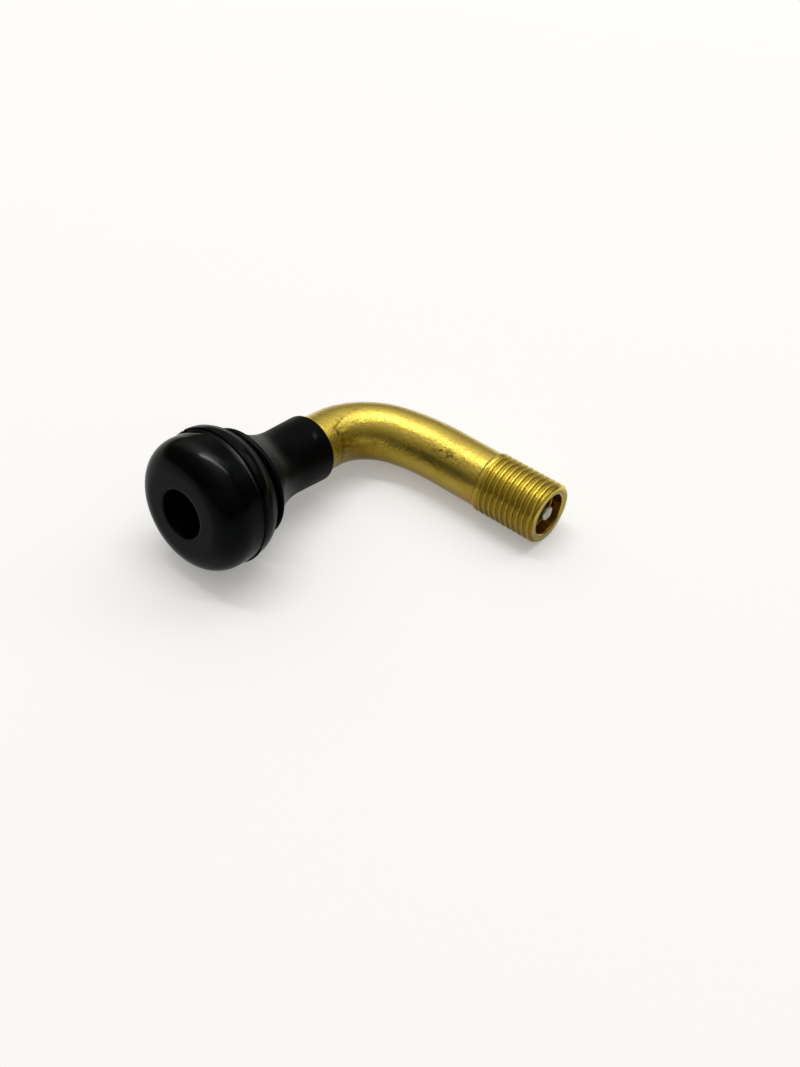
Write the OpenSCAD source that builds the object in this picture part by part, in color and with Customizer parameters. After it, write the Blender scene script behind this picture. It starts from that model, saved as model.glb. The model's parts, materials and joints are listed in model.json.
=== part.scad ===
// Snap-in tyre valve with a bent brass stem, lying on its side as it comes to rest.
// Leg A runs from the rubber base to the bend, leg B from the bend to the threaded mouth.
// Every piece is drawn with the base's face in the plane x = 0 and leg A along +X, and is
// then laid down on the floor z = 0 by rest_pose().

/* [Rubber base] */
// Diameter of the head at its parting lip
head_d = 16.5; // [15.5:0.05:18]
// Distance from the face to the parting lip
head_h = 5.25; // [4.5:0.05:6.5]
// Radius of the rounded edge between the face and the wall of the head
dome_r = 3.25; // [2.5:0.05:3.5]
// How far the parting lip stands out from the wall of the head
lip_flare = 0.13; // [0.1:0.01:0.5]
// How far the band stands out past the parting lip
band_rise = 0.05; // [0.02:0.01:0.4]
// How far the mould half behind the parting lip sits above the front half
mould_shift = 0.16; // [0.05:0.01:0.3]
// Length of the bulging band between the lip and the rim groove
band_h = 2.8; // [2.5:0.05:4]
// Diameter of the band where the rim groove starts
band_end_d = 13.9; // [13:0.05:14.5]
// Diameter of the rim groove's floor
groove_d = 11; // [10.6:0.05:11.6]
// Width of the rim groove at its floor
groove_w = 0.8; // [0.4:0.05:1.2]
// Draft of each groove wall, along the axis
groove_draft = 0.13; // [0.05:0.01:0.3]
// Diameter of the shoulder that snaps through the rim
shoulder_d = 13.5; // [13:0.05:14.5]
// Thickness of the shoulder's edge
shoulder_w = 0.42; // [0.15:0.01:0.6]
// Radius of the hollow curve from the shoulder to the sleeve
neck_r = 8.7; // [7:0.1:9.5]
// Diameter of the sleeve next to the neck
sleeve_d = 8.28; // [8:0.02:8.6]
// Diameter of the sleeve near its end
sleeve_end_d = 8.54; // [8.3:0.02:8.8]
// Radius of the sleeve's rounded end edge
sleeve_round = 0.45; // [0.2:0.05:0.5]
// Length of the base from its face to the sleeve's end
base_len = 20.8; // [19:0.1:23]
// Diameter of the air hole in the face
hole_d = 5.98; // [5:0.02:6.6]
// Depth of the air hole, down to the brass foot
hole_depth = 5.9; // [5:0.05:6.4]

/* [Brass stem] */
// Outer diameter of the tube
tube_d = 7.3; // [7:0.05:7.6]
// Diameter of the air passage
bore_d = 4; // [3.8:0.05:4.2]
// Distance from the base's face to the start of the bend
leg_a = 24; // [23.5:0.1:30]
// Radius of the tight part of the bend, on the tube's axis
bend_r = 8; // [7:0.1:12]
// Angle turned by the tight part; the easy part turns the rest of a right angle
bend_sweep = 72; // [55:1:80]
// Radius of the easy part of the bend
ease_r = 21.6; // [14:0.2:30]
// How far the tube draws in at each stage of the bend
bend_draw = 0.02; // [0.01:0.005:0.05]
// Length of the straight leg that holds the valve core
leg_b = 15.8; // [15:0.1:24]
// Outside diameter of the cap thread
thread_d = 7.75; // [7.7:0.01:8]
// Length of the cap thread
thread_len = 8.7; // [6:0.1:12]
// Outer diameter of the ring-shaped end face
end_face_d = 7.17; // [6.6:0.01:7.4]
// Diameter of the countersunk mouth
mouth_d = 5.6; // [5.45:0.01:5.8]
// Diameter of the anchor flange inside the rubber
foot_d = 10; // [9:0.1:11]
// Thickness of the anchor flange
foot_h = 1.2; // [0.8:0.1:1.6]

/* [Valve core] */
// Diameter of the bore that takes the core's thread
core_d = 5.3; // [5.2:0.01:5.4]
// Diameter of the pin's shank
pin_d = 0.9; // [0.8:0.02:1]
// Diameter of the pin's button
button_d = 1.8; // [1.6:0.01:2]
// Height of the pin's button
button_h = 0.57; // [0.4:0.01:0.8]
// Depth of the button below the end face
button_recess = 0.05; // [0:0.01:0.6]
// How far the pin travels when it is pressed
pin_travel = 1; // [0.6:0.05:1.2]
// Width of the bridge across the plug
bridge_w = 2.4; // [2:0.05:2.6]
// Height of the bridge above the threaded body
bridge_rise = 1.15; // [0.8:0.05:1.3]
// Length of the plug's threaded body
plug_len = 3.8; // [3.4:0.05:4.2]
// Outer diameter of the barrel
barrel_d = 3; // [2.9:0.02:3.1]
// Bore of the barrel, which holds the spring
barrel_bore = 2.24; // [2.2:0.01:2.3]
// Length of the barrel below the plug
barrel_len = 4.6; // [4.4:0.05:5]
// Length of the tapered gasket on the barrel
gasket_len = 2; // [1.6:0.05:2.2]
// Diameter of the gasket's seat where it starts
seat_d = 4.6; // [4.4:0.02:4.8]
// Diameter of the spring's wire
wire_d = 0.28; // [0.2:0.01:0.3]
// Turns of the spring
spring_turns = 7; // [5:1:9]
// Outer diameter of the cup that carries the sealing washer
cup_d = 3.1; // [2.9:0.02:3.3]
// Thickness of the sealing washer
washer_h = 0.7; // [0.5:0.05:0.9]

/* [Fits] */
// Gap between the brass and the rubber bonded to it
bond_gap = 0.02; // [0.01:0.005:0.05]
// Gap between pieces of the core that are screwed or pressed together
core_gap = 0.04; // [0.02:0.005:0.06]
// Gap around the pin where it slides
slide_gap = 0.15; // [0.1:0.01:0.2]

/* [Hidden] */
$fn = 96;

rubber_black = [0.07, 0.08, 0.075];
brass_gold = [0.78, 0.64, 0.28];
pin_silver = [0.68, 0.68, 0.66];
spring_steel = [0.55, 0.56, 0.58];
gasket_red = [0.55, 0.16, 0.12];

// Small overlap that lets a cut run past the surface it opens
past = 1;

// Stations along leg A, from the face
lip_r = head_d / 2;
wall_r = lip_r - lip_flare;
face_r = wall_r - dome_r;
band_r = lip_r + band_rise;
band_x = head_h + band_h;
groove_x = band_x + groove_draft;
shoulder_x = groove_x + groove_w + groove_draft;
neck_x = shoulder_x + shoulder_w;
neck_drop = (shoulder_d - sleeve_d) / 2;
sleeve_x = neck_x + sqrt(2 * neck_r * neck_drop - neck_drop * neck_drop);
band_drop = band_r - band_end_d / 2;
band_arc_r = (band_h * band_h + band_drop * band_drop) / (2 * band_drop);
hole_round = 0.2;

// The bend, which turns leg A's +X into leg B's -Y
tube_r = tube_d / 2;
bore_r = bore_d / 2;
ease_sweep = 90 - bend_sweep;
ease_x = leg_a + (bend_r - ease_r) * sin(bend_sweep);
ease_y = -bend_r + (bend_r - ease_r) * cos(bend_sweep);
leg_b_x = ease_x + ease_r;
tip_y = ease_y - leg_b;
thread_r = thread_d / 2;
end_chamfer = thread_r - end_face_d / 2;
runout = (thread_d - tube_d) / 2;
lap = 0.3;
function lap_angle(radius) = lap / radius * 180 / PI;

// Depths along leg B, from the end face inwards
core_r = core_d / 2;
plug_r = core_r - core_gap;
stop_gap = 0.1;
bridge_s = button_recess + button_h + pin_travel + stop_gap;
plug_s = bridge_s + bridge_rise;
plug_end_s = plug_s + plug_len;
bridge_foot = 0.8;
bridge_end_s = plug_s + bridge_foot;
crimp_h = 0.3;
crimp_r = barrel_d / 2 + core_gap;
swivel_lip = 0.2;
swivel_r = crimp_r + swivel_lip;
swivel_h = 1;
swivel_end_s = plug_end_s - crimp_h - core_gap;
plug_bore_r = swivel_r + core_gap;
gasket_s = plug_end_s + core_gap;
seat_lead = 0.35;
seat_s = gasket_s + seat_lead;
gasket_end_s = gasket_s + gasket_len;
seat_tail = 0.25;
seat_end_s = gasket_end_s + seat_tail;
flange_s = gasket_end_s + core_gap;
flange_h = 0.5;
flange_lip = 0.25;
flange_r = barrel_d / 2 + flange_lip;
barrel_end_s = plug_end_s + barrel_len;
spring_floor_h = 0.7;
spring_floor_s = barrel_end_s - spring_floor_h;
collar_h = 0.4;
collar_s = swivel_end_s - swivel_h - collar_h - core_gap;
collar_r = barrel_bore / 2 - slide_gap + core_gap;
pin_r = pin_d / 2;
pin_hole_r = pin_r + slide_gap;
washer_s = barrel_end_s + core_gap;
cup_wall = 0.25;
cup_lip = 0.2;
cup_r = cup_d / 2;
cup_s = washer_s + cup_lip;
cup_floor_s = washer_s + washer_h + core_gap;
cup_end_s = cup_floor_s + cup_wall;
rivet_h = 0.3;
rivet_lip = 0.3;
rivet_r = pin_r + rivet_lip;

// Rest on the floor: the parting lip and the thread both touch z = 0
lean_dx = leg_b_x - head_h;
rest_tilt = atan2(lip_r, lean_dx) - asin(thread_r / norm([lean_dx, lip_r]));
rest_z = leg_b_x * sin(rest_tilt) + thread_r;
low_x = dome_r * cos(rest_tilt) - face_r * sin(rest_tilt) - dome_r;
high_x = leg_b_x * cos(rest_tilt) + thread_r;

// Lays the drawn valve down, with the middle of its footprint at the origin
module rest_pose() {
  translate([-(low_x + high_x) / 2, -(band_r + tip_y) / 2, rest_z])
    rotate([0, rest_tilt, 0])
      children();
}

// Puts a lathe profile, radius across and distance from the face up, on leg A's axis
module turned_on_a() {
  rotate([0, 90, 0])
    rotate_extrude()
      children();
}

// Frame of leg B: z is the depth below the end face
module on_leg_b() {
  translate([leg_b_x, tip_y, 0])
    rotate([-90, 0, 0])
      children();
}

// Puts a lathe profile, radius across and depth below the end face up, on leg B's axis
module turned_on_b() {
  on_leg_b()
    rotate_extrude()
      children();
}

// Half section of the brass inside the rubber, grown by a gap
module foot_outline(grow) {
  translate([0, hole_depth - grow])
    square([foot_d / 2 + grow, foot_h + 2 * grow]);
  translate([0, hole_depth])
    square([tube_r + grow, leg_a - hole_depth]);
}

// Distance from the face to the front wall of the rim groove, at a radius on that wall
function groove_wall_x(radius) =
  groove_x - (radius - groove_d / 2) * groove_draft / (band_end_d - groove_d) * 2;

// Half section of the band behind the lip: it bulges down to the front wall of the rim groove, which
// runs on below the groove's floor
module band_outline() {
  out_r = band_r + past;
  floor_r = groove_d / 2 - past;
  intersection() {
    union() {
      translate([band_r - band_arc_r, head_h])
        circle(band_arc_r);
      translate([0, head_h])
        square([band_r - band_arc_r, band_arc_r]);
    }
    polygon([
      [0, head_h], [out_r, head_h], [out_r, groove_wall_x(out_r)],
      [floor_r, groove_wall_x(floor_r)], [0, groove_wall_x(floor_r)]
    ]);
  }
}

// Half section of the rest of the moulded rubber, without its holes
module rubber_outline() {
  // Head: flat face, rounded edge and wall that flares to the parting lip
  square([face_r, head_h]);
  intersection() {
    translate([face_r, dome_r])
      circle(dome_r);
    square([lip_r, head_h]);
  }
  polygon([[face_r - past, dome_r], [wall_r, dome_r], [lip_r, head_h], [face_r - past, head_h]]);
  // Floor of the rim groove, which runs on inside the band, and the shoulder's drafted wall
  polygon([
    [0, head_h - past], [groove_d / 2, head_h - past], [groove_d / 2, groove_x + groove_w],
    [shoulder_d / 2, shoulder_x], [0, shoulder_x]
  ]);
  // Shoulder's edge and neck: a hollow curve that meets the sleeve without an edge
  difference() {
    translate([0, shoulder_x])
      square([shoulder_d / 2, sleeve_x - shoulder_x]);
    translate([sleeve_d / 2 + neck_r, sleeve_x])
      circle(neck_r);
  }
  // Sleeve with a rounded end
  polygon([
    [0, sleeve_x], [sleeve_d / 2, sleeve_x], [sleeve_end_d / 2, base_len - sleeve_round],
    [sleeve_end_d / 2 - sleeve_round, base_len], [0, base_len]
  ]);
  translate([sleeve_end_d / 2 - sleeve_round, base_len - sleeve_round])
    circle(sleeve_round);
}

// Edge of the air hole, to be taken away so that a round edge is left
module hole_edge() {
  difference() {
    translate([0, -past])
      square([hole_d / 2 + hole_round, hole_round + past]);
    translate([hole_d / 2 + hole_round, hole_round])
      circle(hole_round);
  }
}

// Moulded rubber head, rim groove, neck and sleeve, bonded round the brass
module rubber_base() {
  color(rubber_black)
    rest_pose()
      difference() {
        union() {
          turned_on_a()
            rubber_outline();
          translate([0, 0, mould_shift])
            turned_on_a()
              band_outline();
        }
        turned_on_a() {
          foot_outline(bond_gap);
          translate([0, -past])
            square([hole_d / 2, hole_depth + past]);
          hole_edge();
        }
      }
}

// Solid core of the bend, drawn in a little more at each stage so that the stages lap
module bend_solid(radius) {
  translate([leg_a, -bend_r, 0])
    rotate([0, 0, ease_sweep])
      rotate_extrude(angle = bend_sweep + lap_angle(bend_r))
        translate([bend_r, 0])
          circle(radius - bend_draw);
  translate([ease_x, ease_y, 0])
    rotate([0, 0, -lap_angle(ease_r)])
      rotate_extrude(angle = ease_sweep + 2 * lap_angle(ease_r))
        translate([ease_r, 0])
          circle(radius - 2 * bend_draw);
}

// Half section of leg B: cap thread with a chamfered end and a run-out
module leg_b_outline() {
  polygon([
    [0, 0], [end_face_d / 2, 0], [thread_r, end_chamfer], [thread_r, thread_len],
    [tube_r, thread_len + runout], [tube_r, leg_b], [0, leg_b]
  ]);
}

// Half section of the cavity in leg B: mouth, core thread, gasket seat and air passage
module cavity_outline() {
  polygon([
    [0, -past], [mouth_d / 2, -past], [mouth_d / 2, 0], [core_r, (mouth_d - core_d) / 2],
    [core_r, gasket_s], [seat_d / 2, seat_s], [bore_r, seat_end_s], [bore_r, leg_b], [0, leg_b]
  ]);
}

// Bent brass tube with its anchor flange and cap thread
module stem() {
  color(brass_gold)
    rest_pose()
      difference() {
        union() {
          turned_on_a()
            foot_outline(0);
          bend_solid(tube_r);
          turned_on_b()
            leg_b_outline();
        }
        turned_on_a()
          square([bore_r, leg_a]);
        bend_solid(bore_r);
        turned_on_b()
          cavity_outline();
      }
}

// Threaded plug of the valve core, with a flat bridge across its top
module core_plug() {
  color(brass_gold)
    rest_pose() {
      turned_on_b()
        difference() {
          translate([0, plug_s])
            square([plug_r, plug_len]);
          translate([0, plug_s - past])
            square([plug_bore_r, plug_len + past - crimp_h]);
          square([crimp_r, plug_end_s + past]);
        }
      on_leg_b()
        difference() {
          intersection() {
            translate([0, 0, bridge_s])
              cylinder(h = bridge_end_s - bridge_s, r = (plug_bore_r + plug_r) / 2);
            translate([-bridge_w / 2, -core_r, 0])
              cube([bridge_w, core_d, plug_end_s]);
          }
          translate([0, 0, bridge_s - past])
            cylinder(h = bridge_end_s, r = pin_hole_r);
        }
    }
}

// Barrel that hangs from the plug, turns in its crimp and ends in the valve seat
module core_barrel() {
  color(brass_gold)
    rest_pose()
      turned_on_b()
        difference() {
          union() {
            translate([0, swivel_end_s - swivel_h])
              square([swivel_r, swivel_h]);
            translate([0, swivel_end_s - swivel_h])
              square([barrel_d / 2, barrel_end_s - swivel_end_s + swivel_h]);
            translate([0, flange_s])
              square([flange_r, flange_h]);
          }
          square([barrel_bore / 2, spring_floor_s]);
          square([pin_hole_r + slide_gap, barrel_end_s + past]);
        }
}

// Tapered ring that seals the barrel in the stem's cone
module barrel_gasket() {
  slope = (seat_d / 2 - bore_r) / (seat_end_s - seat_s);
  color(gasket_red)
    rest_pose()
      turned_on_b()
        polygon([
          [barrel_d / 2 + core_gap, gasket_s + core_gap],
          [seat_d / 2 - core_gap, gasket_s + core_gap],
          [seat_d / 2 - core_gap, seat_s],
          [seat_d / 2 - core_gap - slope * (gasket_end_s - seat_s), gasket_end_s],
          [barrel_d / 2 + core_gap, gasket_end_s]
        ]);
}

// Depth and turn angle of the spring's wire: the first and last turns lie closed
function wire_z(turn, length) =
  turn < 1 ? turn * wire_d
  : turn > spring_turns - 1 ? length - (spring_turns - turn) * wire_d
  : wire_d + (turn - 1) * (length - 2 * wire_d) / (spring_turns - 2);

// Return spring between the barrel's floor and the pin's collar
module core_spring() {
  sides = 8;
  steps = 14;
  rings = spring_turns * steps;
  wire_r = wire_d / 2;
  coil_r = (barrel_bore / 2 + pin_r) / 2 + wire_r / 2;
  start_s = collar_s + collar_h + core_gap + wire_r;
  run = spring_floor_s - core_gap - wire_r - start_s;
  points = [
    for (i = [0:rings]) let (turn = i / steps, a = 360 * turn)
      for (k = [0:sides - 1]) let (b = 360 * k / sides, r = coil_r + wire_r * cos(b))
        [r * cos(a), r * sin(a), start_s + wire_z(turn, run) + wire_r * sin(b)]
  ];
  walls = [
    for (i = [0:rings - 1], k = [0:sides - 1]) let (n = (k + 1) % sides)
      for (f = [[0, 1, 2], [0, 2, 3]])
        let (quad = [i * sides + k, (i + 1) * sides + k, (i + 1) * sides + n, i * sides + n])
          [for (c = f) quad[c]]
  ];
  ends = [[for (k = [0:sides - 1]) k], [for (k = [sides - 1:-1:0]) rings * sides + k]];
  color(spring_steel)
    rest_pose()
      on_leg_b()
        polyhedron(points, concat(walls, ends));
}

// Pin with the button that is pressed to let air through, and the spring's collar
module core_pin() {
  crown_r = button_d;
  color(pin_silver)
    rest_pose()
      turned_on_b() {
        intersection() {
          translate([0, button_recess])
            square([button_d / 2, button_h]);
          translate([0, button_recess + crown_r])
            circle(crown_r);
        }
        translate([0, button_recess + button_h / 2])
          square([pin_r, cup_end_s + rivet_h - button_recess - button_h / 2]);
        translate([0, collar_s])
          square([collar_r, collar_h]);
        translate([0, cup_end_s])
          square([rivet_r, rivet_h]);
      }
}

// Pressed cup riveted to the pin's inner end
module seal_cup() {
  color(brass_gold)
    rest_pose()
      turned_on_b()
        difference() {
          translate([0, cup_s])
            square([cup_r, cup_end_s - cup_s]);
          translate([0, cup_s - past])
            square([cup_r - cup_wall, cup_floor_s - cup_s + past]);
          square([pin_r + core_gap, cup_end_s + past]);
        }
}

// Rubber washer in the cup, pulled up against the barrel's end
module seal_washer() {
  color(rubber_black)
    rest_pose()
      turned_on_b()
        translate([pin_r + core_gap, washer_s])
          square([cup_r - cup_wall - pin_r - 2 * core_gap, washer_h]);
}

rubber_base();
stem();
core_plug();
core_barrel();
barrel_gasket();
core_spring();
core_pin();
seal_cup();
seal_washer();
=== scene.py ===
"""Looks of a snap-in tyre valve with a bent brass stem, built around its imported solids."""
import json

import bmesh
import bpy
import numpy as np
from mathutils import Matrix


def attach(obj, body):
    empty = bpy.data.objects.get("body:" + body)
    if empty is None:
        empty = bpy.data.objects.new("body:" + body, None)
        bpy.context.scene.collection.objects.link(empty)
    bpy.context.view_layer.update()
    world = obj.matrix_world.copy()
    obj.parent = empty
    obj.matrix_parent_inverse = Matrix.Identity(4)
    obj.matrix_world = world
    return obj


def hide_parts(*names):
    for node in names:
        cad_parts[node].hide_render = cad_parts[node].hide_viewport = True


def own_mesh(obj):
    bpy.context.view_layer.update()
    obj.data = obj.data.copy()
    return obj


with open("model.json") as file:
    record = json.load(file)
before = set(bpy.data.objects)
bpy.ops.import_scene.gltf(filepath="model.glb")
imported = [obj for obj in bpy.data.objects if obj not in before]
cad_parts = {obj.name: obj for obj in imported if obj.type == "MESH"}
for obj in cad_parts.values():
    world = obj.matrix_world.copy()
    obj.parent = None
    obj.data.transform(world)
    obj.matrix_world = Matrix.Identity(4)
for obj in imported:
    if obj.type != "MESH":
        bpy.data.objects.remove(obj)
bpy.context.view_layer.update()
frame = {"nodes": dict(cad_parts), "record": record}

# How the valve lies
# It rests on the lip of its rubber head and on its thread. Leg A runs from the head to the bend
# and leg B from the bend to the mouth; the record's mounts give both axes in the row frame.
MM = 0.001
mounts = {mount["name"]: mount for mount in frame["record"]["mounts"]}
inlet_depth = 2.9
along_a = -np.array(mounts["air_inlet"]["axis"], float)
along_a /= np.linalg.norm(along_a)
along_b = np.array(mounts["valve_thread"]["axis"], float)
upright = np.cross(along_b, along_a)
face_centre = np.array(mounts["air_inlet"]["pos_m"]) - inlet_depth * MM * along_a
valve_axes = np.stack([along_a, -along_b, upright])


def place(points):
    """Points in millimetres from the middle of the head's face, along leg A, towards the outside of
    the bend and upright, as metres in the row frame: the face's centre plus a sum of the axes."""
    return face_centre + MM * (points @ valve_axes)


# Camera
# Looks down on the head's face from the left, with the mouth at the lower right. Its place was
# fitted to the edges of the tube, the mouth and the rubber, at a focal length given in pixels.
camera_at = np.array([-76.91, -69.76, 101.46]) * MM
camera_heading = np.radians(39.1)
camera_dip = np.radians(44.43)
camera_roll = np.radians(1.94)
focal_pixels = 1200
image_height = 1067
sensor_size = 36
nearest_seen = 0.005

level_ahead = np.array([np.cos(camera_heading), np.sin(camera_heading), 0])
ahead = np.cos(camera_dip) * level_ahead - np.array([0, 0, np.sin(camera_dip)])
level_right = np.cross(level_ahead, [0, 0, 1])
level_up = np.cross(level_right, ahead)
camera_right = np.cos(camera_roll) * level_right + np.sin(camera_roll) * level_up
camera_up = np.cross(camera_right, ahead)
camera_data = bpy.data.cameras.new("camera")
camera_data.sensor_width = sensor_size
camera_data.lens = focal_pixels / image_height * sensor_size
camera_data.clip_start = nearest_seen
camera = bpy.data.objects.new("camera", camera_data)
camera_frame = np.eye(4)
camera_frame[:3] = np.stack([camera_right, camera_up, -ahead, camera_at], axis=1)
camera.matrix_world = Matrix(camera_frame.tolist())
bpy.context.scene.collection.objects.link(camera)
bpy.context.scene.camera = camera

# Rubber base
# One moulding of black rubber: domed head with the air hole, bulging band, rim groove, thin
# shoulder, hollow neck and sleeve, bonded round the brass. The mould's halves met a little out of
# line, so behind the parting lip the band sits higher, and the lip's thin flash is torn at the top.
lip_r = 8.25
wall_r = 8.12
dome_r = 3.25
face_r = wall_r - dome_r
head_h = 5.25
flare_w = 0.36
crease_r = 8.02
crease_w = 0.1
band_r = 8.3
band_h = 2.8
band_end_r = 6.95
mould_shift = 0.16
groove_r = 5.5
groove_w = 0.8
groove_draft = 0.13
shoulder_r = 6.75
shoulder_w = 0.42
shoulder_edge = 0.14
neck_r = 8.7
sleeve_r = 4.14
sleeve_end_r = 4.27
sleeve_round = 0.42
base_len = 20.8
hole_r = 2.99
hole_depth = 5.88
hole_round = 0.2
pocket_r = 3.67
foot_pocket_r = 5.02
foot_pocket_end = 7.12
flash_h = 0.06
near_flash_h = 0.09
tear_angle = 48
tear_depth = 0.34
tear_step = 0.08
edge_wear = 0.08
hidden_wear = 0.13
sleeve_dullness = 0.62
band_shine = 0.45
scuff_along = 19.05
scuff_angle = 121
scuff_slant = 0.03
rubber_columns = 360


def arc(centre, radius, first, last, count):
    """Points on a circle in the plane of the half section, from one angle to another in degrees,
    where 0 points along the axis and 90 away from it."""
    angle = np.radians(np.linspace(first, last, count))
    return np.stack([centre[0] + radius * np.cos(angle), centre[1] + radius * np.sin(angle)], axis=1)


def rounded_line(corners, spacing, reach=0):
    """Points along a line through corners: straight stretches cut into steps of about the spacing,
    and at each inner corner the quadratic curve that starts and ends the reach away from it."""
    corners = np.array(corners, float)
    bow = np.linspace(0, 1, 5)[:, None]
    pieces = []
    start = corners[0]
    for at, after in zip(corners[1:-1], corners[2:]):
        into = at - reach * (at - start) / np.linalg.norm(at - start)
        out = at + reach * (after - at) / np.linalg.norm(after - at)
        steps = max(1, round(np.linalg.norm(into - start) / spacing))
        pieces.append(np.linspace(start, into, steps, endpoint=False))
        pieces.append((1 - bow) ** 2 * into + 2 * bow * (1 - bow) * at + bow ** 2 * out)
        start = out
    steps = max(1, round(np.linalg.norm(corners[-1] - start) / spacing))
    pieces.append(np.linspace(start, corners[-1], steps + 1)[1:])
    return np.concatenate(pieces)


def smooth_step(value, low, high):
    """0 below low, 1 above high, and the cubic 3t^2 - 2t^3 between them."""
    part = np.clip((value - low) / (high - low), 0, 1)
    return part * part * (3 - 2 * part)


def stretch(value, begins, ends):
    """1 on a stretch and 0 off it: a smooth step up over the pair of values where it begins, times one
    less the smooth step over the pair where it ends."""
    return smooth_step(value, *begins) * (1 - smooth_step(value, *ends))


def window(value, middle, reach):
    """Bell curve exp(-d^2) of the distance from the middle over the reach."""
    return np.exp(-((value - middle) / reach) ** 2)


def blot(along, angle, middle, reach):
    """Soft blot on a piece: the bell curve along it times the bell curve round it, about a middle and
    with a reach that each give the millimetres along and the degrees round."""
    return window(along, middle[0], reach[0]) * window(angle, middle[1], reach[1])


def ring_mesh(name, points, straight, closed):
    """Object whose mesh joins neighbouring rings of a grid of points, row by row, and the last ring
    to the first where it is closed. The grid of straight places, in millimetres along and across the
    piece as if it were not bent, becomes a point attribute that the finishes follow."""
    rows, columns = points.shape[:2]
    index = np.arange(rows * columns).reshape(rows, columns)
    onward = np.roll(index, -1, axis=1)
    next_row = np.roll([index, onward], -1, axis=1)
    quads = np.stack([index, onward, next_row[1], next_row[0]], axis=-1)
    if not closed:
        quads = quads[:-1]
    mesh = bpy.data.meshes.new(name)
    mesh.from_pydata(points.reshape(-1, 3), [], quads.reshape(-1, 4).tolist())
    attribute = mesh.attributes.new("straight", "FLOAT_VECTOR", "POINT")
    attribute.data.foreach_set("vector", straight.astype(np.float32).ravel())
    mesh.shade_smooth()
    piece = bpy.data.objects.new(name, mesh)
    bpy.context.scene.collection.objects.link(piece)
    return piece


band_arc_r = (band_h ** 2 + (band_r - band_end_r) ** 2) / (2 * (band_r - band_end_r))
band_x = head_h + band_h
band_turn = np.degrees(np.arcsin(band_h / band_arc_r))
groove_x = band_x + groove_draft
shoulder_x = groove_x + groove_w + groove_draft
neck_x = shoulder_x + shoulder_w
neck_turn = np.degrees(np.arccos((neck_r - shoulder_r + sleeve_r) / neck_r))
sleeve_x = neck_x + neck_r * np.sin(np.radians(neck_turn))

# Half section, from the hole's floor round the outside to the pockets for the brass. A stretch of it
# starts a little past the end of the one before, so that no two rows coincide
head_outline = np.concatenate([
    rounded_line([(hole_depth, hole_r), (0, hole_r), (0, face_r)], spacing=0.4, reach=hole_round),
    arc((dome_r, face_r), dome_r, first=180, last=90, count=26)[1:],
    rounded_line(
        [(dome_r, wall_r), (head_h - flare_w, wall_r), (head_h, lip_r), (head_h + 0.01, crease_r)],
        spacing=0.2, reach=0.1)[1:],
])
band_centre = (head_h + crease_w, band_r - band_arc_r)
band_arc = arc(band_centre, band_arc_r, first=90, last=90 - band_turn, count=18)
band_outline = np.concatenate([
    rounded_line([(head_h + crease_w, crease_r), band_arc[0], band_arc[1]], spacing=0.1, reach=0.05),
    band_arc[2:-1],
    rounded_line([band_arc[-2], band_arc[-1], (groove_x, groove_r)], spacing=0.2, reach=0.08)[1:],
])
rear_outline = np.concatenate([
    rounded_line(
        [(groove_x + 0.02, groove_r), (groove_x + groove_w, groove_r), (shoulder_x, shoulder_r),
         (neck_x, shoulder_r), (neck_x + 0.1, shoulder_r - shoulder_edge)],
        spacing=0.2, reach=0.07),
    arc((sleeve_x, sleeve_r + neck_r), neck_r, first=270 - neck_turn + 1.5, last=270, count=30),
    rounded_line(
        [(sleeve_x + 0.2, sleeve_r), (base_len, sleeve_end_r), (base_len, pocket_r)],
        spacing=0.3, reach=sleeve_round),
    rounded_line(
        [(base_len - 0.1, pocket_r), (foot_pocket_end, pocket_r), (foot_pocket_end, foot_pocket_r),
         (hole_depth, foot_pocket_r), (hole_depth, hole_r + 0.1)],
        spacing=1.5, reach=0.05),
])
rubber_outline = np.concatenate([head_outline, band_outline, rear_outline])
outline_along = rubber_outline[:, 0]
on_head = np.arange(len(rubber_outline)) < len(head_outline)
on_band = np.zeros(len(rubber_outline))
on_band[len(head_outline):len(head_outline) + len(band_outline)] = 1
rubber_angle = np.linspace(0, 2 * np.pi, rubber_columns, endpoint=False)
turned = (np.degrees(rubber_angle) + 90) % 360 - 90

# Flash on the lip: a thin edge that ends at the tear, where a sliver of the wall came off with it up to
# a small step, and a second stretch low on the near side. The band's front edge is worn, most where
# the flash hides it
at_lip = on_head * smooth_step(outline_along, head_h - 0.35, head_h - 0.05)
at_tear = on_head * smooth_step(outline_along, head_h - 1.2, head_h - 0.05)
at_band_edge = on_band * (1 - smooth_step(outline_along, head_h + crease_w, head_h + 1.2))
tear_edge = (tear_angle - 0.5, tear_angle + 0.5)
flash = flash_h * stretch(turned, (22, 34), tear_edge)
flash = flash + near_flash_h * stretch(turned, (200, 206), (232, 240))
torn_off = tear_depth * stretch(turned, tear_edge, (58, 77))
torn_off = torn_off + tear_step * stretch(turned, tear_edge, (77.5, 79))
worn = edge_wear + hidden_wear * stretch(turned, (-40, 0), (tear_angle - 3, tear_angle - 1))
rubber_along = np.repeat(rubber_outline[:, :1], rubber_columns, axis=1)
rubber_radius = rubber_outline[:, 1:] + at_lip[:, None] * flash - at_band_edge[:, None] * worn
rubber_radius = rubber_radius - at_tear[:, None] * torn_off
rubber_across = rubber_radius * np.cos(rubber_angle)
rubber_up = rubber_radius * np.sin(rubber_angle) + mould_shift * on_band[:, None]
rubber_straight = np.stack([rubber_along, rubber_across, rubber_up], axis=-1)
rubber_base = ring_mesh("moulded_base", place(rubber_straight), rubber_straight, closed=True)


def feed(tree, node, inputs):
    """Gives each named or numbered input of a node its value or, where that is a socket, a link."""
    for key, value in inputs.items():
        if isinstance(value, bpy.types.NodeSocket):
            tree.links.new(value, node.inputs[key])
        else:
            node.inputs[key].default_value = value


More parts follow.
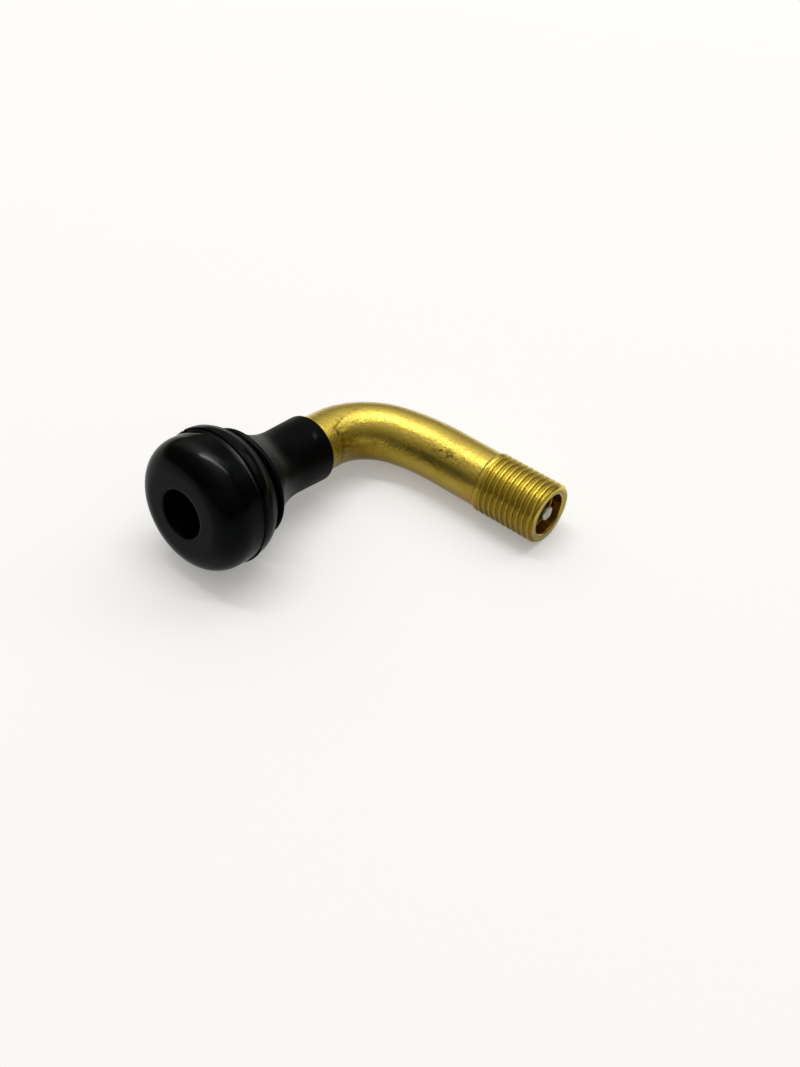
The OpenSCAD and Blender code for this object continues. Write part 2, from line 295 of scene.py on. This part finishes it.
def add(tree, kind, inputs=None, **settings):
    """New shader node: the settings are set first, and then its inputs are fed."""
    node = tree.nodes.new(kind)
    for key, value in settings.items():
        setattr(node, key, value)
    feed(tree, node, inputs or {})
    return node


def span(tree, value, low, high, to_low=0.0, to_high=1.0):
    """Value carried smoothly from the range low to high onto the range to_low to to_high."""
    node = add(tree, "ShaderNodeMapRange",
               {"Value": value, "From Min": low, "From Max": high, "To Min": to_low, "To Max": to_high},
               interpolation_type="SMOOTHSTEP")
    return node.outputs["Result"]


def blend(tree, share, first, second):
    """Colour that goes from the first to the second as the share goes from 0 to 1."""
    node = add(tree, "ShaderNodeMix", {0: share, 6: first, 7: second}, data_type="RGBA")
    return node.outputs[2]


def combine(tree, operation, first, second):
    """Two values put together by a math operation."""
    return add(tree, "ShaderNodeMath", {0: first, 1: second}, operation=operation).outputs[0]


def weighted(tree, *parts):
    """Sum of values, each times its weight."""
    total = 0.0
    for value, weight in parts:
        node = add(tree, "ShaderNodeMath", {0: value, 1: weight, 2: total}, operation="MULTIPLY_ADD")
        total = node.outputs[0]
    return total


def bumps(tree, relief, strength, depth):
    """Normal of a surface with a relief, where 1 stands for a depth in metres."""
    node = add(tree, "ShaderNodeBump", {"Strength": strength, "Distance": depth, "Height": relief})
    return node.outputs[0]


def shader_group(name, inputs, output):
    """Empty node group with named inputs of a socket type each and one value as its output."""
    tree = bpy.data.node_groups.new(name, "ShaderNodeTree")
    for key, kind in inputs.items():
        tree.interface.new_socket(key, in_out="INPUT", socket_type=kind)
    tree.interface.new_socket(output, in_out="OUTPUT", socket_type="NodeSocketFloat")
    return tree, tree.nodes.new("NodeGroupInput").outputs, tree.nodes.new("NodeGroupOutput").inputs


def make_patches():
    """Soft patches: fractal noise at a scale, with the values from Low to High spread over 0 to 1."""
    kinds = {"Vector": "NodeSocketVector", "Scale": "NodeSocketFloat", "Low": "NodeSocketFloat",
             "High": "NodeSocketFloat"}
    tree, given, result = shader_group("patches", kinds, "Mask")
    noise = add(tree, "ShaderNodeTexNoise",
                {"Vector": given["Vector"], "Scale": given["Scale"], "Detail": 5.0, "Roughness": 0.6})
    tree.links.new(span(tree, noise.outputs[0], given["Low"], given["High"]), result["Mask"])
    return tree


def make_streaks():
    """Fine lines: noise on a place that is stretched by a factor along each axis, so that a small
    factor draws the noise out into lines along that axis."""
    kinds = {"Vector": "NodeSocketVector", "Stretch": "NodeSocketVector"}
    tree, given, result = shader_group("streaks", kinds, "Lines")
    drawn = add(tree, "ShaderNodeVectorMath",
                {0: given["Vector"], 1: given["Stretch"]}, operation="MULTIPLY")
    noise = add(tree, "ShaderNodeTexNoise",
                {"Vector": drawn.outputs[0], "Scale": 1.0, "Detail": 3.0, "Roughness": 0.55})
    tree.links.new(span(tree, noise.outputs[0], 0.3, 0.7), result["Lines"])
    return tree


patches = make_patches()
streaks = make_streaks()


def new_finish(name):
    """Empty material with its shader in place: the material, its tree and its Principled BSDF."""
    finish = bpy.data.materials.new(name)
    finish.use_nodes = True
    return finish, finish.node_tree, finish.node_tree.nodes["Principled BSDF"]


def straight_place(tree):
    """The straight place on the piece, in millimetres."""
    return add(tree, "ShaderNodeAttribute", attribute_name="straight").outputs["Vector"]


def group(tree, node_tree, inputs):
    """A shader group placed in a tree with its own values: its one output."""
    return add(tree, "ShaderNodeGroup", inputs, node_tree=node_tree).outputs[0]


def mark(piece, name, amount):
    """Stores an amount of 0 to 1 at each point of a piece, for its finish to read."""
    attribute = piece.data.attributes.new(name, "FLOAT", "POINT")
    attribute.data.foreach_set("value", amount.astype(np.float32).ravel())


def marked(tree, name):
    """The amount of a mark at the shaded point."""
    return add(tree, "ShaderNodeAttribute", attribute_name=name).outputs["Fac"]


# Dull sleeve and rear of the band, a paler grey on the top of the neck, a scuff on the sleeve, a painted
# highlight as a pale line on the shoulder's edge, and shine where the dome's turn, the rim and the band
# are rubbed
sleeve_part = smooth_step(rubber_along, neck_x + 1.5, sleeve_x)
band_rear = on_band[:, None] * smooth_step(rubber_along, 6.4, 7.6)
mark(rubber_base, "dull", np.maximum(sleeve_dullness * sleeve_part, band_rear))
# A paler grey on the top of the neck
neck_part = stretch(rubber_along, (neck_x, neck_x + 0.3), (neck_x + 2, neck_x + 4.5))
mark(rubber_base, "pale_neck_top", neck_part * window(turned, 85, 45))
scuff_run = rubber_along + scuff_slant * (turned - scuff_angle)
scuff_at = blot(scuff_run, turned, middle=(scuff_along, scuff_angle), reach=(0.22, 5))
scuff_at = scuff_at * (rubber_radius > sleeve_r)
# painted highlight: a pale line on the top of the shoulder's front edge
painted_edge_highlight = blot(rubber_along, turned, middle=(shoulder_x, 99), reach=(0.12, 16))
painted_edge_highlight = painted_edge_highlight * (rubber_radius > shoulder_r - 0.3)
mark(rubber_base, "scuff_and_painted_highlight", np.maximum(scuff_at, painted_edge_highlight))
rubbed_dome = blot(rubber_along, turned, middle=(2.1, 101), reach=(0.65, 24)) * (rubber_radius > face_r)
rubbed_rim = blot(rubber_along, turned, middle=(5.05, 112), reach=(0.25, 20)) * (rubber_radius > crease_r)
rubbed_band = blot(rubber_along, turned, middle=(6.3, 118), reach=(0.7, 24)) * on_band[:, None]
mark(rubber_base, "rubbed", np.maximum(np.maximum(rubbed_dome, rubbed_rim), band_shine * rubbed_band))


def rubber_finish():
    """Black rubber, glossy on the head and duller on the sleeve, with a paler grey on the top of the neck,
    a painted highlight on the shoulder's edge, a fine grain, the turned lines of the mould and a coat of
    shine where it is rubbed."""
    finish, tree, shader = new_finish("moulded_rubber")
    spot = straight_place(tree)
    cloud = group(tree, patches, {"Vector": spot, "Scale": 0.32, "Low": 0.42, "High": 0.72})
    grain = group(tree, patches, {"Vector": spot, "Scale": 7.0, "Low": 0.2, "High": 0.8})
    rings = group(tree, streaks, {"Vector": spot, "Stretch": (3.2, 0.05, 0.05)})
    pale_neck_top = combine(tree, "MULTIPLY", marked(tree, "pale_neck_top"), span(tree, cloud, 0, 1, 0.75, 1))
    # The pale colour is the paler grey on the neck's top, the scuff, and a painted highlight on the
    # shoulder's edge
    pale = combine(tree, "MAXIMUM", pale_neck_top, combine(tree, "MULTIPLY", marked(tree, "scuff_and_painted_highlight"), grain))
    colour = blend(tree, cloud, (0.0010, 0.0015, 0.0013, 1), (0.0026, 0.0036, 0.0032, 1))
    dull = combine(tree, "MAXIMUM", marked(tree, "dull"), pale)
    relief = weighted(tree, (grain, 0.35), (rings, 1.0))
    feed(tree, shader, {
        "Base Color": blend(tree, pale, colour, (0.085, 0.095, 0.086, 1)),
        "Roughness": weighted(tree, (span(tree, cloud, 0, 1, 0.18, 0.24), 1.0), (dull, 0.4)),
        "Specular IOR Level": 0.044,
        "Specular Tint": (0.86, 1, 0.95, 1),
        "Coat Weight": combine(tree, "MULTIPLY", marked(tree, "rubbed"), 0.55),
        "Coat Roughness": 0.16,
        "Normal": bumps(tree, relief, strength=0.12, depth=0.00006),
    })
    return finish


rubber_base.data.materials.append(rubber_finish())
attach(rubber_base, "valve")
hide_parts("rubber_base")

# Brass stem
# A drawn brass tube with an anchor flange inside the rubber, bent cold at a right angle. Leg B has
# the rolled cap thread outside, and inside it the core's thread, the gasket's cone and the air
# passage. The bending tool left a ragged crease at the start of the bend, and pits further on.
tube_r = 3.65
bore_r = 2.0
foot_x = 5.9
foot_end = 7.1
foot_r = 5.0
covered_to = 19
bend_start = 24.0
bend_r = 8.0
bend_sweep = np.radians(72)
ease_r = 21.6
leg_b = 15.8
thread_r = 3.875
thread_depth = 0.2
thread_pitch = 0.794
crest_share = 0.26
root_share = 0.44
thread_len = 8.7
thread_runout = 0.22
chamfer_w = 0.3
end_face_r = 3.585
mouth_r = 2.8
core_thread_r = 2.65
core_thread_depth = 0.14
core_thread_pitch = 0.705
core_thread_from = 1.1
core_thread_to = 4.2
thread_fade = 0.7
seat_from = 6.71
seat_start = 7.06
seat_r = 2.3
seat_end = 8.96
crease_ring = 23.05
crease_leaves = 121
crease_slant = 0.2
crease_wave = 0.18
crease_ripple = 0.08
dent_depth = 0.07
stem_columns = 160

ease_sweep = np.pi / 2 - bend_sweep
ease_start = bend_start + bend_r * bend_sweep
ease_end = ease_start + ease_r * ease_sweep
tip = ease_end + leg_b


def tube_place(straight):
    """Places on the bent tube, from a grid of places along the tube, across it and up. The heading
    turns evenly along the tight and then the easy part of the bend; the axis is the straight start,
    plus both arcs, plus leg B; across points to the outside of the bend and up stands on its plane."""
    along, across, up = np.moveaxis(straight, -1, 0)
    tight = np.clip((along - bend_start) / bend_r, 0, bend_sweep)
    easy = np.clip((along - ease_start) / ease_r, 0, ease_sweep)
    heading = tight + easy
    axis_x = np.minimum(along, bend_start) + bend_r * np.sin(tight)
    axis_x = axis_x + ease_r * (np.sin(bend_sweep + easy) - np.sin(bend_sweep))
    axis_y = -bend_r * (1 - np.cos(tight)) - np.maximum(along - ease_end, 0)
    axis_y = axis_y - ease_r * (np.cos(bend_sweep) - np.cos(bend_sweep + easy))
    return place(np.stack(
        [axis_x + across * np.sin(heading), axis_y + across * np.cos(heading), up], axis=-1))


def from_crest(along, angle, pitch):
    """Distance from the middle of a right-hand thread's crest along the axis, as a share of the half
    pitch: pitches along the axis, less the share of a revolution, give the place on the turn."""
    turn = along / pitch - angle / (2 * np.pi)
    return 2 * np.abs(turn - np.round(turn))


def thread_drop(away):
    """Drop below a crest, from 0 to 1, for a distance from it: none on the crest's flat, then evenly
    down the flank to the root's flat."""
    return np.clip((away - crest_share) / (1 - crest_share - root_share), 0, 1)


# Half section from the foot along the outside to the mouth and back through the bore, with rows close
# together where the threads are
thread_start = tip - thread_len
runout_start = thread_start - thread_runout
core_from = tip - core_thread_from
core_to = tip - core_thread_to
stem_outline = np.concatenate([
    rounded_line(
        [(foot_x, bore_r), (foot_x, foot_r), (foot_end, foot_r), (foot_end, tube_r), (covered_to, tube_r)],
        spacing=0.8, reach=0.12),
    rounded_line([(covered_to + 0.3, tube_r), (runout_start - 0.3, tube_r)], spacing=0.2),
    rounded_line(
        [(runout_start - 0.2, tube_r), (runout_start, tube_r), (thread_start, thread_r),
         (thread_start + 0.2, thread_r)],
        spacing=0.05, reach=0.08),
    rounded_line(
        [(thread_start + 0.23, thread_r), (tip - chamfer_w, thread_r), (tip, end_face_r)],
        spacing=0.034, reach=0.03),
])
end_outline = rounded_line([(tip, end_face_r - 0.34), (tip, mouth_r + 0.02)], spacing=0.1)
bore_outline = np.concatenate([
    rounded_line(
        [(tip - 0.01, mouth_r), (tip - 0.15, core_thread_r), (core_from, core_thread_r)],
        spacing=0.06, reach=0.03),
    rounded_line([(core_from - 0.03, core_thread_r), (core_to, core_thread_r)], spacing=0.045),
    rounded_line(
        [(core_to - 0.2, core_thread_r), (tip - seat_from, core_thread_r), (tip - seat_start, seat_r),
         (tip - seat_end, bore_r), (ease_end, bore_r)],
        spacing=0.8, reach=0.05),
    rounded_line([(ease_end - 0.6, bore_r), (bend_start, bore_r)], spacing=0.7),
    rounded_line([(bend_start - 1, bore_r), (foot_x + 0.15, bore_r)], spacing=2.0),
])
stem_rows = np.concatenate([stem_outline, end_outline, bore_outline])
stem_angle = np.linspace(0, 2 * np.pi, stem_columns, endpoint=False)
side = np.degrees(stem_angle)
stem_along = np.repeat(stem_rows[:, :1], stem_columns, axis=1)
stem_radius = np.repeat(stem_rows[:, 1:], stem_columns, axis=1)
row = np.repeat(np.arange(len(stem_rows))[:, None], stem_columns, axis=1)
outside = row < len(stem_outline)
inside = row >= len(stem_outline) + len(end_outline)

# Cap thread, cut through the chamfer at the end and fading out at the start, and the core's thread
threaded = outside * smooth_step(stem_along, thread_start + 0.1, thread_start + 0.1 + thread_fade)
cap_away = from_crest(stem_along, stem_angle, thread_pitch)
cap_groove = thread_drop(cap_away) * threaded
below_end = tip - stem_along
core_threaded = inside * smooth_step(below_end, core_thread_from, core_thread_from + thread_fade)
core_threaded = core_threaded * (below_end < core_thread_to)
core_groove = thread_drop(from_crest(stem_along, stem_angle, core_thread_pitch)) * core_threaded
cap_limit = np.where(threaded > 0, thread_r - thread_depth * cap_groove, np.inf)
stem_radius = np.minimum(stem_radius, cap_limit) + core_thread_depth * core_groove

# Crease of the bending tool: it rings the tube on the side of the bend's inside and slants off along
# the top, its line wanders in waves, and the dent behind it is sharp on one side
crease_reach = outside * stretch(side, (90, 98), (190, 220))
crease_at = crease_ring + crease_slant * np.clip(crease_leaves - side, 0, 30)
crease_at = crease_at + crease_wave * np.sin(7 * stem_angle) * np.sin(16 * stem_angle + 1)
crease_at = crease_at + crease_ripple * np.sin(31 * stem_angle)
past_crease = stem_along - crease_at
dent = stretch(past_crease, (-0.25, 0.1), (0.1, 1.3)) * crease_reach * smooth_step(side, 108, 122)
stem_radius = stem_radius - dent_depth * dent

stem_across = stem_radius * np.cos(stem_angle)
stem_up = stem_radius * np.sin(stem_angle)
stem_straight = np.stack([stem_along, stem_across, stem_up], axis=-1)
stem = ring_mesh("bent_stem", tube_place(stem_straight), stem_straight, closed=True)

# Painted shade in the grooves and most in the corners of their roots, the torn edge of the crease with
# mottling before it, pits, a long stain, a tint by the thread, and painted shade underneath, inside the
# bend and along the top
# painted shade: the grooves of both threads darker, most in the corners of the cap thread's roots
in_groove = 0.55 * np.maximum(cap_groove, core_groove) ** 2
root_corner_shade = 0.95 * window(cap_away, 1 - root_share, 0.1) * threaded
mark(stem, "groove", np.maximum(in_groove, root_corner_shade))
torn = window(past_crease, 0.05, 0.34 + 0.3 * window(side, 148, 24))
mottled = 0.42 * window(past_crease, -0.45, 0.9)
mark(stem, "crease", np.maximum(torn, mottled) * (stem_along < 30) * crease_reach)
speckled = blot(stem_along, side, middle=(42.4, 139), reach=(2.6, 10))
pocked = blot(stem_along, side, middle=(27.7, 188), reach=(0.5, 7))
pocked = pocked + blot(stem_along, side, middle=(30.6, 178), reach=(0.6, 14))
mark(stem, "pitted", (speckled + 0.8 * pocked) * outside)
long_stain = blot(stem_along, side, middle=(45.2, 162), reach=(3.6, 9))
mark(stem, "stained", long_stain * outside)
low_tint = blot(stem_along, side, middle=(47.4, 195), reach=(0.7, 16))
high_tint = blot(stem_along, side, middle=(42.6, 108), reach=(0.9, 18))
mark(stem, "tinted", (low_tint + 0.5 * high_tint) * outside)
mark(stem, "threaded", threaded)
# painted shade: dark brown underneath, more inside the bend and by the thread, and a band along the top
under = stretch(side, (149, 176), (300, 345))
under = under * (0.7 + 0.25 * window(stem_along, 27, 6) + 0.12 * threaded)
bend_side = 0.45 * blot(stem_along, side, middle=(31, 155), reach=(5, 20))
top_line = 0.26 * window(side, 85, 12)
mark(stem, "painted_shade_under_and_top", np.maximum(under, bend_side + top_line) * outside)
mark(stem, "end", ~outside & ~inside)
mark(stem, "inside", inside)


def brass_finish():
    """Satin drawn brass: a fine grain, faint lines along the tube and dull patches; a yellower thread
    with painted shade in its roots, a dark torn crease at the bend, pits and a stain beyond it, painted
    shade underneath, inside the bend and along the top, a dull end and a brown bore. The relief is
    weaker where the threads and the bore are cut."""
    finish, tree, shader = new_finish("drawn_brass")
    spot = straight_place(tree)
    lines = group(tree, streaks, {"Vector": spot, "Stretch": (0.25, 5.0, 5.0)})
    dull = group(tree, patches, {"Vector": spot, "Scale": 0.45, "Low": 0.4, "High": 0.75})
    fleck = group(tree, patches, {"Vector": spot, "Scale": 2.2, "Low": 0.5, "High": 0.57})
    uneven = group(tree, patches, {"Vector": spot, "Scale": 1.9, "Low": 0.25, "High": 0.75})
    grain = group(tree, patches, {"Vector": spot, "Scale": 5.5, "Low": 0.2, "High": 0.8})
    colour = blend(tree, dull, (0.82, 0.625, 0.11, 1), (0.74, 0.535, 0.082, 1))
    tones = {
        "threaded": (0.79, 0.59, 0.07, 1),
        "tinted": (0.75, 0.42, 0.10, 1),
        # painted shade underneath, inside the bend and along the top
        "painted_shade_under_and_top": (0.14, 0.09, 0.006, 1),
        "end": (0.285, 0.235, 0.065, 1),
        "inside": (0.46, 0.28, 0.025, 1),
    }
    for name, tone in tones.items():
        colour = blend(tree, marked(tree, name), colour, tone)
    pits = combine(tree, "MULTIPLY", marked(tree, "pitted"), fleck)
    crease = combine(tree, "MULTIPLY", marked(tree, "crease"), span(tree, uneven, 0.3, 0.7, 0.15, 0.8))
    stain = combine(tree, "MULTIPLY", marked(tree, "stained"), span(tree, lines, 0.2, 0.9, 0.35, 0.75))
    broken = combine(tree, "MAXIMUM", pits, crease)
    # The dark colour covers the pits, the crease and the stain, and paints shade in the thread grooves
    dark = combine(tree, "MAXIMUM", broken, combine(tree, "MAXIMUM", marked(tree, "groove"), stain))
    satin = span(tree, lines, 0, 1, 0.235, 0.3)
    rough = weighted(tree, (satin, 1.0), (dull, 0.06), (dark, 0.2), (marked(tree, "end"), 0.2))
    relief = weighted(tree, (lines, 0.6), (pits, -8.0), (crease, -3.0), (uneven, 7.0), (grain, 1.1))
    cut = combine(tree, "MAXIMUM", marked(tree, "threaded"), marked(tree, "inside"))
    relief = combine(tree, "MULTIPLY", relief, span(tree, cut, 0, 1, 1, 0.3))
    feed(tree, shader, {
        "Base Color": blend(tree, dark, colour, (0.16, 0.10, 0.015, 1)),
        "Metallic": 1.0,
        "Roughness": rough,
        "Normal": bumps(tree, relief, strength=0.15, depth=0.00003),
    })
    return finish


stem.data.materials.append(brass_finish())
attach(stem, "valve")
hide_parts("stem")

# Core pin
# Turned bright pin of the valve core: the domed button that a chuck presses, the shank, the collar
# that holds the spring and the riveted inner end. It slides in the barrel.
pin_r = 0.45
button_r = 0.9
button_top = 0.05
button_h = 0.57
button_edge = 0.06
crown_r = 1.8
crown_h = 0.24
collar_from = 4.89
collar_h = 0.4
collar_r = 1.01
rivet_from = 12.3
rivet_h = 0.3
rivet_r = 0.75
pin_columns = 64


def merge_poles(piece):
    """Joins the points of a piece that lie on one spot, so that its ends close."""
    merged = bmesh.new()
    merged.from_mesh(piece.data)
    bmesh.ops.remove_doubles(merged, verts=merged.verts, dist=1e-8)
    merged.to_mesh(piece.data)
    merged.free()


def lathe(name, outline, columns):
    """Piece turned about leg B's axis: an outline of depth below the end face and radius, from the
    axis at the inner end to the axis at the outer end, carried round, with its poles merged."""
    angle = np.linspace(0, 2 * np.pi, columns, endpoint=False)
    along = np.repeat(tip - outline[:, :1], columns, axis=1)
    radius = outline[:, 1:]
    straight = np.stack([along, radius * np.cos(angle), radius * np.sin(angle)], axis=-1)
    piece = ring_mesh(name, tube_place(straight), straight, closed=False)
    merge_poles(piece)
    return piece


button_end = button_top + button_h
collar_end = collar_from + collar_h
rivet_end = rivet_from + rivet_h
crown_turn = np.degrees(np.arcsin((button_r - button_edge) / crown_r))
pin_outline = np.concatenate([
    rounded_line(
        [(rivet_end, 0), (rivet_end, rivet_r), (rivet_from, rivet_r), (rivet_from, pin_r),
         (collar_end, pin_r), (collar_end, collar_r), (collar_from, collar_r), (collar_from, pin_r),
         (button_end, pin_r), (button_end, button_r), (button_top + crown_h, button_r)],
        spacing=0.4, reach=0.05),
    arc((button_top + crown_r, 0), crown_r, first=180 - crown_turn, last=180, count=14),
])
pin_outline[-1, 1] = 0
pin = lathe("turned_pin", pin_outline, pin_columns)


def pin_finish():
    """Bright grey metal with fine turning rings and a few dull patches."""
    finish, tree, shader = new_finish("turned_pin_metal")
    spot = straight_place(tree)
    rings = group(tree, streaks, {"Vector": spot, "Stretch": (9.0, 0.6, 0.6)})
    dull = group(tree, patches, {"Vector": spot, "Scale": 2.2, "Low": 0.4, "High": 0.7})
    feed(tree, shader, {
        "Base Color": blend(tree, dull, (0.40, 0.385, 0.325, 1), (0.30, 0.29, 0.24, 1)),
        "Metallic": 1.0,
        "Roughness": span(tree, dull, 0, 1, 0.35, 0.5),
        "Normal": bumps(tree, rings, strength=0.2, depth=0.00002),
    })
    return finish


pin.data.materials.append(pin_finish())
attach(pin, "pin")
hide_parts("core_pin")

# Return spring
# Seven turns of steel wire with closed ends, between the pin's collar and the barrel's floor. It is
# squeezed towards the floor as the pin is pressed.
wire_r = 0.14
coil_r = 0.855
spring_turns = 7
spring_from = 5.33
spring_to = 10.53
rings_per_turn = 28
wire_columns = 12

coil_turns = np.linspace(0, spring_turns, spring_turns * rings_per_turn + 1)
coil_run = spring_to - spring_from - 2 * wire_r
coil_depth = spring_from + wire_r + np.interp(
    coil_turns, [0, 1, spring_turns - 1, spring_turns], [0, 2 * wire_r, coil_run - 2 * wire_r, coil_run])
wire_angle = np.linspace(0, 2 * np.pi, wire_columns, endpoint=False)
wire_size = np.full(len(coil_turns), wire_r)
wire_size[[0, -1]] = 0
coil_out = coil_r + wire_size[:, None] * np.cos(wire_angle)
coil_angle = 2 * np.pi * coil_turns[:, None]
coil_along = tip - coil_depth[:, None] + wire_size[:, None] * np.sin(wire_angle)
coil_straight = np.stack(
    [coil_along, coil_out * np.cos(coil_angle), coil_out * np.sin(coil_angle)], axis=-1)
spring = ring_mesh("return_spring", tube_place(coil_straight), coil_straight, closed=False)
merge_poles(spring)


def wire_finish():
    """Drawn steel wire with dull and bright stretches."""
    finish, tree, shader = new_finish("drawn_wire")
    spot = straight_place(tree)
    dull = group(tree, patches, {"Vector": spot, "Scale": 3.0, "Low": 0.35, "High": 0.7})
    feed(tree, shader, {
        "Base Color": blend(tree, dull, (0.56, 0.57, 0.58, 1), (0.34, 0.34, 0.35, 1)),
        "Metallic": 1.0,
        "Roughness": span(tree, dull, 0, 1, 0.25, 0.45),
    })
    return finish


spring.data.materials.append(wire_finish())
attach(spring, "valve")
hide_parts("core_spring")
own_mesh(spring)

# Plug, barrel and cup of the core
# Small turned brass pieces: the plug screws into the mouth, the barrel hangs in its crimp and the
# cup is riveted to the pin. Their solids are true, so they only get a finish.


def object_place(tree):
    """The place in the row frame, in millimetres."""
    spot = add(tree, "ShaderNodeTexCoord").outputs["Object"]
    return add(tree, "ShaderNodeVectorMath", {0: spot, 3: 1 / MM}, operation="SCALE").outputs[0]


def core_brass_finish():
    """Turned brass, browner than the stem, with rings round leg B's axis and dull patches."""
    finish, tree, shader = new_finish("turned_core_brass")
    spot = object_place(tree)
    rings = group(tree, streaks, {"Vector": spot, "Stretch": (0.4, 7.0, 0.4)})
    dull = group(tree, patches, {"Vector": spot, "Scale": 1.1, "Low": 0.35, "High": 0.7})
    feed(tree, shader, {
        "Base Color": blend(tree, dull, (0.55, 0.38, 0.09, 1), (0.34, 0.21, 0.05, 1)),
        "Metallic": 1.0,
        "Roughness": span(tree, rings, 0, 1, 0.34, 0.48),
        "Normal": bumps(tree, rings, strength=0.2, depth=0.00002),
    })
    return finish


def dress(node, finish):
    """Gives a solid of the frame a finish in place of its plain one."""
    solid = frame["nodes"][node]
    solid.data.materials.clear()
    solid.data.materials.append(finish)


core_brass = core_brass_finish()
dress("core_plug", core_brass)
dress("core_barrel", core_brass)
dress("seal_cup", core_brass)

# Gasket and washer
# The red tapered ring seals the barrel in the stem's cone, and the black washer in the cup closes
# on the barrel's end. Both are matt moulded rubber.


def soft_seal_finish(name, clean, aged):
    """Matt rubber that goes from a clean to an aged colour in patches, with a fine grain."""
    finish, tree, shader = new_finish(name)
    spot = object_place(tree)
    age = group(tree, patches, {"Vector": spot, "Scale": 1.4, "Low": 0.35, "High": 0.7})
    grain = group(tree, patches, {"Vector": spot, "Scale": 9.0, "Low": 0.2, "High": 0.8})
    feed(tree, shader, {
        "Base Color": blend(tree, age, clean, aged),
        "Roughness": span(tree, age, 0, 1, 0.6, 0.75),
        "Normal": bumps(tree, grain, strength=0.2, depth=0.00003),
    })
    return finish


dress("barrel_gasket", soft_seal_finish("gasket_red", (0.34, 0.03, 0.02, 1), (0.22, 0.02, 0.015, 1)))
dress("seal_washer", soft_seal_finish("washer_black", (0.012, 0.012, 0.012, 1), (0.03, 0.03, 0.028, 1)))

# Floor and light
# A pale matt table under a soft panel on the far side, a narrow strip lamp overhead and two dimly lit
# walls. The table shows a little brighter than its light alone makes it, and keeps the shadow.
floor_size = 3.0
floor_glow = 0.27
room_low = 0.09
room_rise = 0.5

floor_corners = np.array([[-1, -1, 0], [1, -1, 0], [1, 1, 0], [-1, 1, 0]]) * floor_size / 2
floor_mesh = bpy.data.meshes.new("floor")
floor_mesh.from_pydata(floor_corners, [], [[0, 1, 2, 3]])
floor = bpy.data.objects.new("floor", floor_mesh)
bpy.context.scene.collection.objects.link(floor)
floor_paint, floor_tree, floor_shader = new_finish("pale_table")
ray = add(floor_tree, "ShaderNodeLightPath").outputs
seen = combine(floor_tree, "MAXIMUM", ray["Is Glossy Ray"], ray["Is Transmission Ray"])
seen = combine(floor_tree, "MAXIMUM", ray["Is Camera Ray"], seen)
feed(floor_tree, floor_shader, {
    "Base Color": (0.95, 0.95, 0.95, 1),
    "Roughness": 0.9,
    "Specular IOR Level": 0.1,
    "Emission Color": (1, 1, 1, 1),
    "Emission Strength": combine(floor_tree, "MULTIPLY", seen, floor_glow),
})
floor_mesh.materials.append(floor_paint)


def lamp(name, first, last, distance, depth, radiance):
    """Area lamp that faces the valve, with its long side between two directions, each a heading and a
    height in degrees, at a distance. Its power is the radiance times pi times its area."""
    heading, rise = np.radians([first, last]).T
    level = np.cos(rise)
    ends = distance * np.stack([np.cos(heading) * level, np.sin(heading) * level, np.sin(rise)], axis=1)
    middle = ends.mean(axis=0)
    towards = middle / np.linalg.norm(middle)
    width = np.linalg.norm(ends[1] - ends[0])
    sideways = (ends[1] - ends[0]) / width
    data = bpy.data.lights.new(name, "AREA")
    data.shape = "RECTANGLE"
    data.size = width
    data.size_y = depth
    data.energy = radiance * np.pi * width * depth
    light = bpy.data.objects.new(name, data)
    pose = np.eye(4)
    pose[:3] = np.stack([sideways, np.cross(towards, sideways), towards, middle], axis=1)
    light.matrix_world = Matrix(pose.tolist())
    bpy.context.scene.collection.objects.link(light)


lamp("soft_panel", first=(-14, 47), last=(100, 64), distance=1.3, depth=0.3, radiance=1.75)
lamp("strip_lamp", first=(-45, 60), last=(97, 63), distance=1.3, depth=0.075, radiance=10.5)
lamp("side_wall", first=(-38, 34), last=(-6, 38), distance=1.4, depth=0.3, radiance=1.2)
lamp("far_wall", first=(5, 30), last=(95, 30), distance=1.6, depth=1.2, radiance=0.35)

# The room is dim at eye level and brighter overhead: its strength grows from the low one with the
# square of the direction's height, and it is warmer low down
room = bpy.data.worlds.new("dim_room")
room.use_nodes = True
room_tree = room.node_tree
direction = add(room_tree, "ShaderNodeTexCoord").outputs["Generated"]
height = add(room_tree, "ShaderNodeSeparateXYZ", {0: direction}).outputs["Z"]
squared = combine(room_tree, "MULTIPLY", height, height)
risen = combine(room_tree, "MULTIPLY", squared, room_rise)
overhead = span(room_tree, height, 0.1, 0.8)
feed(room_tree, room_tree.nodes["Background"], {
    "Color": blend(room_tree, overhead, (1, 0.86, 0.58, 1), (1, 0.97, 0.92, 1)),
    "Strength": combine(room_tree, "ADD", risen, room_low),
})
bpy.context.scene.world = room
bpy.context.scene.view_settings.view_transform = "Standard"
